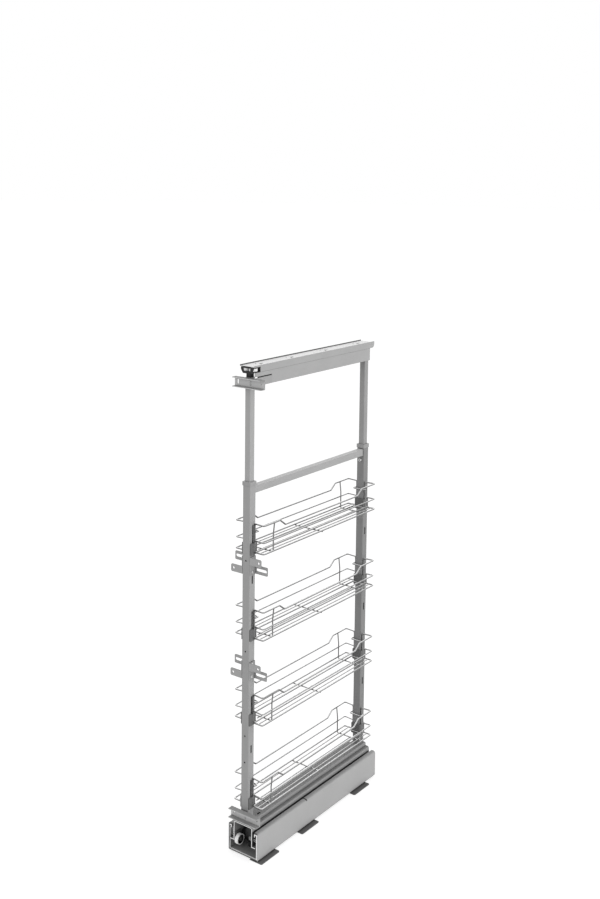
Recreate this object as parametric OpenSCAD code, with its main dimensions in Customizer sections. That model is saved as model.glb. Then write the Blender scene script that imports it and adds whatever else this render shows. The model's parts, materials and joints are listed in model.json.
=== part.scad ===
// Pull-out larder unit: a floor channel, a telescopic carriage, a height-adjustable
// upright frame with four wire baskets, and a guide rail for the cabinet's top panel.
// X runs across the unit, Y from front to back, Z up. The origin is the centre of the
// floor-screw pattern on the underside of the floor tabs.

/* [Floor channel] */
// Length of the floor channel, front to back
base_len = 559; // [520:1:620]
// Outside width of the floor channel
base_w = 102; // [100:1:112]
// Height of the floor channel above its tabs
base_h = 77; // [74:1:84]
// Wall of the floor channel
base_t = 5.8; // [4:0.1:6]
// Chamfer of the channel's front edge
base_chamfer = 3.2; // [1:0.1:4]
// Outside bend radius of the floor channel
base_bend = 7; // [7:0.5:8]
// Width of each in-turned lip along the channel's mouth
lip_w = 13; // [10:0.5:15]
// Depth of the return on each lip
lip_drop = 5.5; // [4:0.5:6]
// Thickness of the return on each lip
lip_t = 2.5; // [2:0.1:3]
// Thickness of the floor tabs
tab_t = 2; // [1.5:0.1:3]
// How far the floor tabs stand out beside the channel
tab_out = 13; // [10:0.5:18]
// Length of each floor tab along the channel
tab_len = 78; // [70:1:82]
// Diameter of the floor screw holes
floor_hole_d = 6.4; // [5:0.1:8]
// Distance between floor screw holes across the unit
floor_hole_x = 72; // [68:1:74]
// Distance of the floor screw holes from each end of the channel
floor_hole_inset = 60; // [52:1:70]

/* [Carriage] */
// Length of the moving carriage channel
carriage_len = 555; // [500:1:556]
// Outside width of the carriage channel
carriage_w = 62; // [58:1:64]
// Sheet thickness of the carriage channel
carriage_t = 2; // [1.5:0.1:2.5]
// Height of the carriage channel from its feet to its top
carriage_h = 53.5; // [50:0.5:54]
// How far the carriage top stands above the floor channel
carriage_rise = 10.5; // [9:0.5:14]
// Outside bend radius of the carriage channel
carriage_bend = 6; // [4:0.5:8]
// Width of each out-turned foot of the carriage channel
foot_w = 11.5; // [8:0.5:12]
// Thickness of the slide members
slide_t = 1.5; // [1.2:0.1:1.8]
// Diameter of the bearing balls in the slides
ball_d = 2.6; // [2:0.1:2.7]

/* [Frame] */
// Width of the rail that the posts stand on
rail_w = 38; // [34:1:42]
// Height of the rail that the posts stand on
rail_h = 9.5; // [8:0.5:14]
// Sheet thickness of the rail that the posts stand on
rail_t = 2; // [1.5:0.1:2.5]
// Outside width of the square lower posts
post_w = 23.8; // [22:0.1:26]
// Wall of the lower posts
post_t = 2.5; // [2:0.1:2.8]
// Height of the collars' top above the floor
post_top = 1011; // [980:1:1030]
// Distance of each post's centre from the channel's end
post_inset = 17.6; // [15:0.1:20]
// Outside corner radius of the square tubes
tube_bend = 2; // [1.5:0.1:3]
// Clearance between an upper tube and its post, each side
slip = 0.3; // [0.2:0.05:0.5]
// Wall of the upper tubes
tube_t = 1.5; // [1.2:0.1:2]
// How far the upper tubes reach down into the posts
tube_insert = 150; // [120:1:160]
// Height of the collar on each post
collar_h = 10.5; // [8:0.5:14]
// Wall of the collar outside the post
collar_t = 1.6; // [1:0.1:2.5]
// Width of the crossbar
bar_w = 18; // [14:0.5:22]
// Height of the crossbar
bar_h = 20; // [16:0.5:24]
// Wall of the crossbar
bar_t = 1.5; // [1.2:0.1:2]
// Width of the slots in the sides of the posts
post_slot_w = 4.5; // [3:0.1:6]

/* [Top guide] */
// Height of the whole unit
unit_h = 1314; // [1290:1:1330]
// Outside width of the top rail and the top bar
top_w = 48.2; // [44:0.1:52]
// Sheet thickness of the top rail and the top bar
top_t = 1.6; // [1.4:0.1:2]
// Height of the top rail
top_rail_h = 18.3; // [16:0.1:22]
// How far the top rail's walls stand above its plate
rail_rim = 3; // [1:0.1:4]
// Length of the top rail
top_rail_len = 551; // [500:1:556]
// Height of the top bar
top_bar_h = 34.3; // [30:0.1:38]
// Gap between the top bar and the top rail
top_gap = 0.4; // [0.3:0.1:2]
// Height of the guide rollers
guide_roller_h = 7; // [5:0.5:8]

/* [Front brackets] */
// Width of the front brackets
bracket_w = 97.6; // [90:0.1:100]
// Height of the front brackets
bracket_h = 25.5; // [24:0.5:28]
// Depth of the front brackets' flanges
bracket_flange = 13.5; // [8:0.5:16]
// Sheet thickness of the front brackets
bracket_t = 2; // [1.5:0.1:2.5]
// Sideways place of the front brackets' centre at rest
bracket_shift = 9.2; // [6:0.1:11]

/* [Door brackets] */
// Height of the lower pair of door brackets
door_low_z = 508.5; // [500:0.5:515]
// Height of the upper pair of door brackets
door_high_z = 790; // [785:0.5:792]
// Sheet thickness of the door brackets
door_t = 2; // [1.5:0.1:2.5]
// How far the door brackets' ears reach from the centre plane
ear_reach = 50; // [44:0.5:54]
// How far the door brackets' slotted wings reach from the centre plane
wing_reach = 54; // [46:0.5:58]

/* [Baskets] */
// Height of the bottom basket's floor
basket_first = 137.4; // [134:0.2:142]
// Vertical distance between baskets
basket_pitch = 229.2; // [227:0.2:230]
// Width of a basket between its outer wires' centres
basket_w = 93.4; // [90:0.2:98]
// Length of a basket between its end wires' centres
basket_l = 518; // [516:0.5:520]
// Diameter of the frame wires
wire_d = 4.4; // [4:0.1:5]
// Diameter of the thin floor wires
thin_d = 3; // [2.5:0.1:3.6]
// Diameter of the cross wires under the floor
cross_d = 3.6; // [3:0.1:4.2]
// Height of the middle side wire above the floor
mid_h = 29.5; // [24:0.5:34]
// Height of the rim along the middle of a basket
rim_low = 58.5; // [50:0.5:62]
// Height of the raised rim at the ends of a basket
rim_high = 74.5; // [68:0.5:80]
// Bend radius of the wires at the corners
wire_bend = 5; // [4:0.5:7]
// Wall of the clips that hold a basket on its posts
clip_t = 3.4; // [3:0.1:4]
// Height of the clips that hold a basket on its posts
clip_h = 30; // [24:1:34]

/* [Closing catch] */
// Diameter of the catch roller
roller_d = 28; // [26:0.5:30]
// Width of the catch roller
roller_w = 10; // [8:0.5:12]
// Diameter of the catch roller's axle
axle_d = 8; // [6:0.5:10]
// Height of the catch roller's centre
roller_z = 36.5; // [34:0.5:38]

/* [Hidden] */
$fn = 48;
cut = 1;                                  // overrun of every cut past its face
run = 0.3;                                // gap between pieces that slide past each other
fit = 0.1;                                // radial clearance of pins and axles

front_y = -base_len / 2;
back_y = base_len / 2;
base_z0 = tab_t;
base_z1 = tab_t + base_h;
mouth_w = base_w - 2 * lip_w;
inner_x = base_w / 2 - base_t;            // inside face of the channel's walls

carriage_z1 = base_z1 + carriage_rise;
carriage_z0 = carriage_z1 - carriage_h;
leg_x = carriage_w / 2;                   // outside face of the carriage's legs
rail_z1 = carriage_z1 + rail_h;

post_y = [front_y + post_inset, back_y - post_inset];
post_z1 = post_top - collar_t;
tube_w = post_w - 2 * post_t - 2 * slip;
bar_z1 = post_top - collar_h - 3;
bar_z0 = bar_z1 - bar_h;
lock_z = bar_z0 - 13;

rail_top_z1 = unit_h;
rail_top_z0 = unit_h - top_rail_h;
plate_z1 = rail_top_z1 - rail_rim;        // top face of the top rail's plate
top_bar_z1 = rail_top_z0 - top_gap;
top_bar_z0 = top_bar_z1 - top_bar_h;
head_z = top_bar_z0 + 20.7;               // top of the front upper tube and head bracket
tube_z0 = post_top - tube_insert;
top_notch = 69;                           // length of the notch at the top bar's front
head_gap = 3.6;                           // height of the slot left above the bracket's arm
bottom_bracket_z = rail_z1 + 16.2;        // centre height of the bottom front bracket
top_bracket_z = head_z - 12.4;           // centre height of the top front bracket
web_y = post_y[0] - post_w / 2 - 5;       // back face of the bottom bracket's web
top_web_y = post_y[0] - tube_w / 2 - 2;   // back face of the top bracket's web
screw_x = [9, 12];                        // bottom and top bracket screws
screw_dz = 3.6;

// ---------- shared shapes ----------

// Rounded rectangle from true arcs, centred in X, from y0 to y1
module rounded_rect(w, y0, y1, r) {
    translate([-w / 2 + r, y0]) square([w - 2 * r, y1 - y0]);
    translate([-w / 2, y0 + r]) square([w, y1 - y0 - 2 * r]);
    for (sx = [-1, 1], y = [y0 + r, y1 - r])
        translate([sx * (w / 2 - r), y]) circle(r);
}

// Extrudes an X-Z profile along Y from y0 to y1
module along_y(y0, y1) {
    translate([0, y1, 0]) rotate([90, 0, 0]) linear_extrude(y1 - y0) children();
}

// Extrudes an X-Z profile forward-facing plate of thickness t whose back face is at y
module plate_y(y, t) {
    along_y(y - t, y) children();
}

// Slot profile with round ends, length along Y of the profile
module slot_2d(w, l) {
    translate([-w / 2, -(l - w) / 2]) square([w, l - w]);
    for (s = [-1, 1]) translate([0, s * (l - w) / 2]) circle(w / 2);
}

// Square tube standing along Z, with rounded corners
module square_tube(w, t, z0, z1) {
    difference() {
        translate([0, 0, z0]) linear_extrude(z1 - z0) rounded_rect(w, -w / 2, w / 2, tube_bend);
        translate([0, 0, z0 - cut]) linear_extrude(z1 - z0 + 2 * cut)
            rounded_rect(w - 2 * t, t - w / 2, w / 2 - t, tube_bend / 2);
    }
}

function unit(v) = v / norm(v);
function frame_matrix(ex, ey, ez, o) = [
    [ex[0], ey[0], ez[0], o[0]],
    [ex[1], ey[1], ez[1], o[1]],
    [ex[2], ey[2], ez[2], o[2]],
    [0, 0, 0, 1]];
// Any unit vector square to v
function square_to(v) = abs(v[2]) < 0.9 ? unit(cross([0, 0, 1], v)) : unit(cross([1, 0, 0], v));

// Straight piece of round wire from a to b
module straight_wire(a, b, d) {
    ez = unit(b - a);
    ex = square_to(ez);
    multmatrix(frame_matrix(ex, cross(ez, ex), ez, a)) cylinder(h = norm(b - a), d = d);
}

// How far a bend of radius r reaches along its two straights at the corner a-b-c
function bend_reach(a, b, c, r) = r * tan((180 - angle_at(a, b, c)) / 2);
function angle_at(a, b, c) = acos(max(-1, min(1, unit(a - b) * unit(c - b))));

// Round wire through points with true bends at the inner points. Each straight runs a
// little way into the bends at its ends, and the bends are a hair thicker than the wire.
lap = 0.3;
bend_extra = 0.04;
module wire(points, d, radii) {
    n = len(points);
    reach = [for (i = [0 : n - 1])
        (i == 0 || i == n - 1) ? -lap : bend_reach(points[i - 1], points[i], points[i + 1], radii[i - 1])];
    for (i = [0 : n - 2]) {
        dir = unit(points[i + 1] - points[i]);
        straight_wire(points[i] + (reach[i] - lap) * dir, points[i + 1] - (reach[i + 1] - lap) * dir, d);
    }
    for (i = [1 : n - 2]) {
        u = unit(points[i - 1] - points[i]);
        v = unit(points[i + 1] - points[i]);
        turn = 180 - angle_at(points[i - 1], points[i], points[i + 1]);
        centre = points[i] + unit(u + v) * radii[i - 1] / cos(turn / 2);
        ex = unit(points[i] + reach[i] * u - centre);
        multmatrix(frame_matrix(ex, -u, cross(ex, -u), centre))
            rotate_extrude(angle = turn) translate([radii[i - 1], 0]) circle(d = d + bend_extra);
    }
}
function same(r, n) = [for (i = [1 : n]) r];

// ---------- floor channel ----------

module base_channel() color("gainsboro") {
    difference() {
        along_y(front_y, back_y) {
            difference() {
                rounded_rect(base_w, base_z0, base_z1, base_bend);
                rounded_rect(base_w - 2 * base_t, base_z0 + base_t, base_z1 - base_t, base_bend - base_t);
                translate([-mouth_w / 2, base_z1 - base_t - cut]) square([mouth_w, base_t + 2 * cut]);
            }
            for (s = [-1, 1])
                translate([s * (mouth_w + lip_t) / 2 - lip_t / 2, base_z1 - base_t - lip_drop])
                    square([lip_t, lip_drop + base_t / 2]);
        }
        floor_holes();
        lip_notch();
        for (s = [-1, 1]) translate([s * base_w / 2, front_y, 0]) chamfer_cut(0, base_z1 + 20);
        for (z = [base_z0, base_z1]) translate([-base_w, front_y, z]) rotate([0, 90, 0])
            chamfer_cut(0, 2 * base_w);
    }
}

// Square bar along Z that takes a chamfer off an edge through the origin
module chamfer_cut(z0, z1) {
    a = base_chamfer * sqrt(2);
    translate([0, 0, z0 - cut]) rotate(45) translate([-a / 2, -a / 2, 0]) cube([a, a, z1 - z0 + 2 * cut]);
}

// Narrow notch across the right lip, shallower over the wall
notch_w = 3.5;
module lip_notch() {
    translate([mouth_w / 2 - cut, -65, base_z1 - base_t - lip_drop - cut])
        cube([inner_x - mouth_w / 2, notch_w, base_t + lip_drop + 2 * cut]);
    translate([mouth_w / 2 - cut, -65, base_z1 - 3]) cube([lip_w, notch_w, 3 + cut]);
}

module floor_holes() {
    for (sx = [-1, 1], sy = [-1, 1])
        translate([sx * floor_hole_x / 2, sy * (base_len / 2 - floor_hole_inset), -cut])
            cylinder(h = tab_t + base_t + 2 * cut, d = floor_hole_d);
}

// The right tabs start at the front end; the left ones are the same turned half round
tab_in = 27;
tab_starts = [0, 179, 433];
module floor_tabs() color("darkgray") difference() {
    for (turn = [0, 180], y = tab_starts) rotate([0, 0, turn])
        translate([base_w / 2, front_y + y, 0]) linear_extrude(tab_t) tab_outline();
    floor_holes();
}

tab_corner = 4;
module tab_outline() {
    translate([-tab_in, 0]) square([tab_in + tab_out - tab_corner, tab_len]);
    translate([0, tab_corner]) square([tab_out, tab_len - 2 * tab_corner]);
    for (y = [tab_corner, tab_len - tab_corner]) translate([tab_out - tab_corner, y]) circle(tab_corner);
}

// ---------- telescopic slides ----------

slide_gap = 3;                            // room for a ball row between two flanges
slide_z1 = base_z1 - base_t - lip_drop - 2;
slide_z0 = carriage_z0 + carriage_t + 3;
slide_len = base_len - 19;
middle_len = slide_len - 40;
middle_z0 = slide_z0 + slide_t + slide_gap;
middle_z1 = slide_z1 - slide_t - slide_gap;
inner_z0 = middle_z0 + slide_t + slide_gap;
inner_z1 = middle_z1 - slide_t - slide_gap;
middle_x = inner_x - slide_t - 1;         // outside face of the middle member's back
slide_mouth_x = leg_x + 6.5;              // free edges of the outer and middle flanges
inner_edge_x = middle_x - slide_t - 1.5;  // free edges of the inner member's flanges
slide_y0 = front_y + 9.5;

// C profile with its back at x1 and its mouth towards x0
module c_profile(x0, x1, z0, z1, t) {
    lo = min(x0, x1);
    hi = max(x0, x1);
    difference() {
        translate([lo, z0]) square([hi - lo, z1 - z0]);
        translate([x1 > x0 ? lo - cut : lo + t, z0 + t]) square([hi - lo - t + cut, z1 - z0 - 2 * t]);
    }
}

module slide_outer() color("lightsteelblue")
    along_y(slide_y0, slide_y0 + slide_len)
        c_profile(slide_mouth_x, inner_x, slide_z0, slide_z1, slide_t);

module slide_middle() color("slategray")
    along_y(slide_y0 + 2, slide_y0 + 2 + middle_len)
        c_profile(slide_mouth_x, middle_x, middle_z0, middle_z1, slide_t);

module slide_inner() color("lightsteelblue")
    along_y(slide_y0 - 2, slide_y0 - 2 + slide_len)
        c_profile(inner_edge_x, leg_x, inner_z0, inner_z1, slide_t);

// Four rows of balls in thin cages between the flanges
cage_t = 0.8;
cage_len = 150;
cage_y0 = slide_y0 + 60;
ball_count = 6;
module ball_cages() color("goldenrod") {
    rows = [slide_z0 + slide_t + slide_gap / 2, slide_z1 - slide_t - slide_gap / 2,
            middle_z0 + slide_t + slide_gap / 2, middle_z1 - slide_t - slide_gap / 2];
    x = (slide_mouth_x + inner_edge_x) / 2;
    for (z = rows) {
        translate([x - 2, cage_y0, z - cage_t / 2]) cube([4, cage_len, cage_t]);
        for (i = [0 : ball_count - 1])
            translate([x, cage_y0 + (i + 0.5) * cage_len / ball_count, z]) sphere(d = ball_d);
    }
}

module mirrored() { mirror([1, 0, 0]) children(); }

// ---------- closing catch ----------

roller_y = front_y + 12.5;
roller_x0 = -leg_x + carriage_t + 2.4;    // left face of the catch roller
pawl_pivot = [roller_y + roller_d / 2 + 35, roller_z + 12];
pawl_w = 8;
body_x0 = -11;
body_x1 = 26;
body_y0 = roller_y + 12;
body_len = 118;
body_z0 = 40;
body_z1 = 67;
body_round = 10;
pedestal_len = 50;
foot_y = 12;
pin_d = 6;

// Moulded body: a block hollowed round the roller's path, on a pedestal with a front foot
module soft_close_body() color("dimgray") difference() {
    union() {
        translate([0, body_y0, 0]) along_y(0, body_len) {
            translate([body_x0, body_z0]) square([body_x1 - body_x0, body_z1 - body_round - body_z0]);
            translate([body_x0 + body_round, body_z0])
                square([body_x1 - body_x0 - body_round, body_z1 - body_z0]);
            translate([body_x0 + body_round, body_z1 - body_round]) circle(body_round);
        }
        translate([body_x0, body_y0 + body_len - pedestal_len, base_z0 + base_t])
            cube([body_x1 - body_x0, pedestal_len, body_z0 - base_z0 - base_t + cut]);
        translate([body_x0, body_y0 + foot_y, base_z0 + base_t]) cube([9, body_len - foot_y, 13]);
    }
    translate([body_x0 - cut, roller_y, roller_z]) rotate([0, 90, 0])
        cylinder(h = body_x1 - body_x0 + 2 * cut, d = roller_d + 4);
    translate([damper_x, body_y0 - cut, damper_z]) rotate([-90, 0, 0])
        cylinder(h = damper_len + cut, d = damper_d + 2 * fit);
    translate([body_x0 - cut, pawl_pivot[0], pawl_pivot[1]]) rotate([0, 90, 0])
        cylinder(h = 12, d = pin_d + 2 * fit);
}

module soft_close_pin() color("silver")
    translate([roller_x0, pawl_pivot[0], pawl_pivot[1]]) rotate([0, 90, 0])
        cylinder(h = body_x0 - roller_x0 + 10, d = pin_d);

damper_d = 11;
damper_x = 5;
damper_z = body_z0;
damper_len = 55;
// Damper cylinder in a half-round saddle under the body
module damper_cylinder() color("whitesmoke")
    translate([damper_x, body_y0 + 0.5, damper_z]) rotate([-90, 0, 0])
        cylinder(h = damper_len - 0.5, d = damper_d);

// Pawl that hooks behind the catch roller and swings down to let it go
module closing_pawl() color("dimgray") {
    x0 = roller_x0 + 1;
    head_y = roller_y + roller_d / 2 + run;
    difference() {
        union() {
            translate([x0, pawl_pivot[0], pawl_pivot[1]]) rotate([0, 90, 0]) cylinder(h = pawl_w, d = 13);
            translate([x0, head_y, roller_z - 10]) cube([pawl_w, 7, 22]);
            translate([x0, head_y + 3, pawl_pivot[1] - 4]) cube([pawl_w, pawl_pivot[0] - head_y - 3, 8]);
        }
        translate([x0 - cut, pawl_pivot[0], pawl_pivot[1]]) rotate([0, 90, 0])
            cylinder(h = pawl_w + 2 * cut, d = pin_d + 2 * fit);
    }
}

// Plate on the carriage's left leg that holds the catch roller's axle
module roller_bracket() color("gray") {
    x0 = -leg_x + carriage_t;
    difference() {
        union() {
            translate([x0, roller_y - 9, roller_z - 9]) cube([2, 22, 30]);
            translate([x0, roller_y, roller_z]) rotate([0, 90, 0])
                cylinder(h = 2.4 + roller_w + 0.3, d = axle_d);
            translate([x0 + 2, roller_y, roller_z]) rotate([0, 90, 0]) cylinder(h = 0.3, d = axle_d + 4);
        }
        translate([x0 - cut, roller_y, roller_z]) rotate([0, 90, 0])
            cylinder(h = roller_w + 20, d = axle_d - 3);
    }
}

module catch_roller() color("white")
    translate([roller_x0, roller_y, roller_z]) rotate([0, 90, 0]) difference() {
        cylinder(h = roller_w, d = roller_d);
        translate([0, 0, -cut]) cylinder(h = roller_w + 2 * cut, d = axle_d + 2 * fit);
        translate([0, 0, 2]) cylinder(h = roller_w, d = roller_d - 5);
    }

// ---------- carriage ----------

module carriage_channel() color("lightgray") difference() {
    along_y(front_y, front_y + carriage_len) {
        difference() {
            union() {
                rounded_rect(carriage_w, carriage_z0 + 10, carriage_z1, carriage_bend);
                translate([-leg_x, carriage_z0]) square([carriage_w, carriage_h / 2]);
            }
            rounded_rect(carriage_w - 2 * carriage_t, carriage_z0 + 10, carriage_z1 - carriage_t,
                         carriage_bend - carriage_t);
            translate([-leg_x + carriage_t, carriage_z0 - cut])
                square([carriage_w - 2 * carriage_t, carriage_h / 2 + cut]);
        }
        for (s = [-1, 1])
            translate([s * (leg_x + foot_w / 2 - carriage_t / 2) - foot_w / 2 - carriage_t / 2, carriage_z0])
                square([foot_w + carriage_t, carriage_t]);
    }
    rail_slot_cuts(carriage_z1 - carriage_t);
}

rail_slots = [[9, 55], [-9, 504]];
rail_pins = [[5.5, 36], [-13, 152], [-13, 160], [-13, 440], [-13, 450]];
module rail_slot_cuts(z) for (s = rail_slots) translate([s[0], front_y + s[1], z - cut])
    linear_extrude(rail_t + 2 * cut) slot_2d(5, 14);

module frame_base_rail() color("silver") difference() {
    along_y(front_y + 1, front_y + carriage_len) difference() {
        rounded_rect(rail_w, carriage_z1 - 4, rail_z1, 3);
        rounded_rect(rail_w - 2 * rail_t, carriage_z1 - 4, rail_z1 - rail_t, 1.2);
        translate([-rail_w, carriage_z1 - 10]) square([2 * rail_w, 10]);
    }
    rail_slot_cuts(rail_z1 - rail_t);
    for (p = rail_pins) translate([p[0], front_y + p[1], rail_z1 - rail_t - cut])
        cylinder(h = rail_t + 2 * cut, d = 4.5);
}

// ---------- posts ----------

basket_names = ["bottom", "lower", "upper", "top"];
function basket_z(i) = basket_first + i * basket_pitch;
long_slot = [24, 72];
short_slot = [-84, -62];
post_face_holes = [258, 330, 560, 803];

module lower_post(y) color("darkgray") translate([0, y, 0]) difference() {
    square_tube(post_w, post_t, rail_z1, post_z1);
    for (i = [0 : 3]) post_slot(basket_z(i) + long_slot[0], basket_z(i) + long_slot[1]);
    for (i = [1 : 3]) post_slot(basket_z(i) + short_slot[0], basket_z(i) + short_slot[1]);
    for (z = post_face_holes) translate([0, y < 0 ? 0 : post_w, z]) rotate([90, 0, 0])
        cylinder(h = post_w, d = 4.5);
    translate([0, y < 0 ? post_w / 2 : -post_w / 2, lock_z]) rotate([90, 0, 0])
        cylinder(h = 2 * post_t + 2 * cut, d = lock_d + 2 * fit, center = true);
}

module post_slot(z0, z1) {
    translate([-post_w, 0, (z0 + z1) / 2]) rotate([90, 0, 90])
        linear_extrude(2 * post_w) slot_2d(post_slot_w, z1 - z0);
}

module post_collar(y) color("gray") translate([0, y, 0]) difference() {
    translate([0, 0, post_top - collar_h]) linear_extrude(collar_h)
        rounded_rect(post_w + 2 * collar_t, -post_w / 2 - collar_t, post_w / 2 + collar_t, 2);
    translate([-post_w / 2, -post_w / 2, post_top - collar_h - cut])
        cube([post_w, post_w, collar_h - collar_t + cut]);
    translate([-tube_w / 2 - slip, -tube_w / 2 - slip, post_top - collar_h])
        cube([tube_w + 2 * slip, tube_w + 2 * slip, collar_h + cut]);
}

module crossbar() color("darkgray")
    along_y(post_y[0] + post_w / 2, post_y[1] - post_w / 2) difference() {
        rounded_rect(bar_w, bar_z0, bar_z1, 2.5);
        rounded_rect(bar_w - 2 * bar_t, bar_z0 + bar_t, bar_z1 - bar_t, 1);
    }

lock_d = 5;
module lock_screws() color("whitesmoke")
    for (s = [-1, 1]) translate([0, s < 0 ? post_y[0] + post_w / 2 : post_y[1] - post_w / 2, lock_z])
        rotate([s * 90, 0, 0]) {
            cylinder(h = 4, d = 10);
            translate([0, 0, -post_t]) cylinder(h = post_t + 1, d = lock_d);
        }

// ---------- front brackets ----------

// C channel with its mouth to the front; y is the back face of its web
bracket_end = 10;                         // distance of the slot and the hole from the ends
module front_bracket(y, zc, slot_l, sx) color("rosybrown") {
    z0 = zc - bracket_h / 2;
    end_x = bracket_w / 2 - bracket_end;
    difference() {
        union() {
            plate_y(y, bracket_t) translate([bracket_shift, 0])
                rounded_rect(bracket_w, z0, z0 + bracket_h, 1.5);
            for (z = [z0, z0 + bracket_h - bracket_t])
                translate([bracket_shift, y - bracket_t, z]) linear_extrude(bracket_t) flange_2d();
        }
        translate([bracket_shift - end_x, y + cut, zc]) rotate([90, 0, 0])
            linear_extrude(bracket_t + 2 * cut) slot_2d(5, slot_l);
        translate([bracket_shift + end_x, y + cut, zc]) rotate([90, 0, 0])
            cylinder(h = bracket_t + 2 * cut, d = 4);
        for (dz = [-screw_dz, screw_dz]) translate([sx, y + cut, zc + dz])
            rotate([90, 0, 0]) cylinder(h = bracket_t + 2 * cut, d = bracket_screw_d + 2 * fit);
    }
}

// Flange with a round corner at the front right
flange_r = 5;
module flange_2d() {
    w = bracket_w - 3;
    translate([-w / 2, flange_r - bracket_flange]) square([w, bracket_flange - flange_r + bracket_t]);
    translate([-w / 2, -bracket_flange]) square([w - flange_r, flange_r + cut]);
    translate([w / 2 - flange_r, flange_r - bracket_flange]) circle(flange_r);
}

bracket_screw_d = 3.6;
module bracket_screws(y, zc, reach, sx) color("gray")
    for (dz = [-screw_dz, screw_dz]) translate([sx, y - bracket_t, zc + dz]) {
        rotate([90, 0, 0]) cylinder(h = 1, d = 5.4);
        rotate([-90, 0, 0]) cylinder(h = bracket_t + reach, d = bracket_screw_d);
    }

// Distance piece between the bottom bracket's web and the front post
module bottom_bracket_spacer() color("gray") difference() {
    translate([-rail_w / 2, web_y, rail_z1])
        cube([rail_w, post_y[0] - post_w / 2 - web_y, bottom_bracket_z + 9 - rail_z1]);
    for (dz = [-screw_dz, screw_dz]) translate([screw_x[0], web_y + 2, bottom_bracket_z + dz])
        rotate([90, 0, 0]) cylinder(h = 4 + 2 * cut, d = bracket_screw_d + 2 * fit, center = true);
}

// ---------- door brackets ----------

// Right-hand bracket: side plate on the post, eared plate in front, slotted wing behind
module door_bracket() color("rosybrown") {
    x0 = post_w / 2;
    y0 = post_y[0] - post_w / 2;
    y1 = post_y[0] + post_w / 2;
    difference() {
        union() {
            translate([x0, y0, -24]) cube([door_t, post_w, 48]);
            plate_y(y0 + door_t, door_t) round_plate(x0, ear_reach, 4, 24, 4);
            plate_y(y1, door_t) round_plate(x0, wing_reach, -24, -1, 3);
        }
        translate([ear_reach - 8.5, y0 - cut, 14]) rotate([-90, 0, 0])
            cylinder(h = door_t + 2 * cut, d = 6.5);
        translate([(x0 + wing_reach + 3) / 2, y1 + cut, -12.5]) rotate([90, 0, 0])
            linear_extrude(door_t + 2 * cut) rotate(90) slot_2d(8, wing_reach - x0 - 8);
        for (z = door_rivet_z) translate([0, post_y[0], z]) rotate([0, 90, 0])
            cylinder(h = post_w, d = rivet_d + 2 * fit);
    }
}

// Plate from x0 to x1 with rounded outer corners
module round_plate(x0, x1, z0, z1, r) {
    translate([x0, z0]) square([x1 - x0 - r, z1 - z0]);
    translate([x0, z0 + r]) square([x1 - x0, z1 - z0 - 2 * r]);
    for (z = [z0 + r, z1 - r]) translate([x1 - r, z]) circle(r);
}

rivet_d = 4;
door_rivet_z = [-17, 17];
module door_bracket_rivets() color("silver")
    for (s = [-1, 1], zc = [door_low_z, door_high_z], z = door_rivet_z)
        translate([s * post_w / 2, post_y[0], zc + z]) rotate([0, s * 90, 0]) {
            cylinder(h = door_t, d = rivet_d);
            translate([0, 0, door_t]) cylinder(h = 1.2, d1 = 7.5, d2 = 5);
        }

// ---------- upper frame ----------

module upper_tube(y, z1) color("lightgray") translate([0, y, 0])
    square_tube(tube_w, tube_t, tube_z0, z1);

bar_y0 = front_y + 8;
bar_y1 = back_y - 24.5;
// Inverted U; its left wall stops short and its right wall is notched for the head bracket
module top_bar() color("silver") difference() {
    translate([-top_w / 2, bar_y0, top_bar_z0]) cube([top_w, bar_y1 - bar_y0, top_bar_h]);
    translate([-top_w / 2 + top_t, bar_y0 - cut, top_bar_z0 - cut])
        cube([top_w - 2 * top_t, bar_y1 - bar_y0 + 2 * cut, top_bar_h - top_t + cut]);
    translate([-top_w / 2 - cut, bar_y0 - cut, top_bar_z0 - cut])
        cube([top_w / 2, top_notch + cut, top_bar_h - top_t + cut]);
    translate([0, bar_y0 - cut, top_bar_z0 - cut]) cube([top_w, top_notch + cut, head_z - top_bar_z0 + cut]);
    translate([0, bar_y0 - cut, head_z - run]) cube([top_w, top_notch + cut - head_gap / 2, head_gap]);
    translate([0, bar_y0 + top_notch - head_gap / 2, head_z - run + head_gap / 2]) rotate([0, 90, 0])
        cylinder(h = top_w, d = head_gap);
    translate([-top_w, bar_y0 - cut, top_bar_z1 - top_t - cut])
        cube([top_w * 3 / 2 - top_t, 26 + cut, top_t + 2 * cut]);
    translate([-neck_w / 2 - fit, post_y[1] - neck_w / 2 - fit, top_bar_z0])
        cube([neck_w + 2 * fit, neck_w + 2 * fit, top_bar_h + cut]);
}

// Plate across the front tube with an arm in the top bar's notch
module front_head_bracket() color("darkgray") {
    y0 = top_web_y;
    difference() {
        translate([-rail_w / 2, y0, top_bar_z0]) cube([rail_w / 2 + top_w / 2, 2, head_z - top_bar_z0]);
        for (dz = [-screw_dz, screw_dz]) translate([screw_x[1], y0 + 1, top_bracket_z + dz])
            rotate([90, 0, 0]) cylinder(h = 2 + 2 * cut, d = bracket_screw_d + 2 * fit, center = true);
    }
    translate([top_w / 2 - top_t, y0, top_bar_z0])
        cube([top_t, bar_y0 + top_notch - y0, head_z - top_bar_z0]);
}

stem_w = tube_w - 2 * tube_t - 2 * fit;   // part of the guide's stem inside its tube
neck_w = stem_w - 1.2;                    // part of the stem above the tube
guide_w = 39;
guide_d = 27;
guide_window = 22;
guide_z1 = plate_z1 - top_t - 0.7;
guide_roller_x = 11.4;
guide_roller_y = -1.2;
guide_roller_r = top_w / 2 - top_t - run - guide_roller_x;
guide_roller_z = (rail_top_z0 + 0.5 + guide_z1 - guide_roller_h) / 2;
guide_axle_d = 4;
pocket = 0.4;                             // room round the guide rollers

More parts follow.
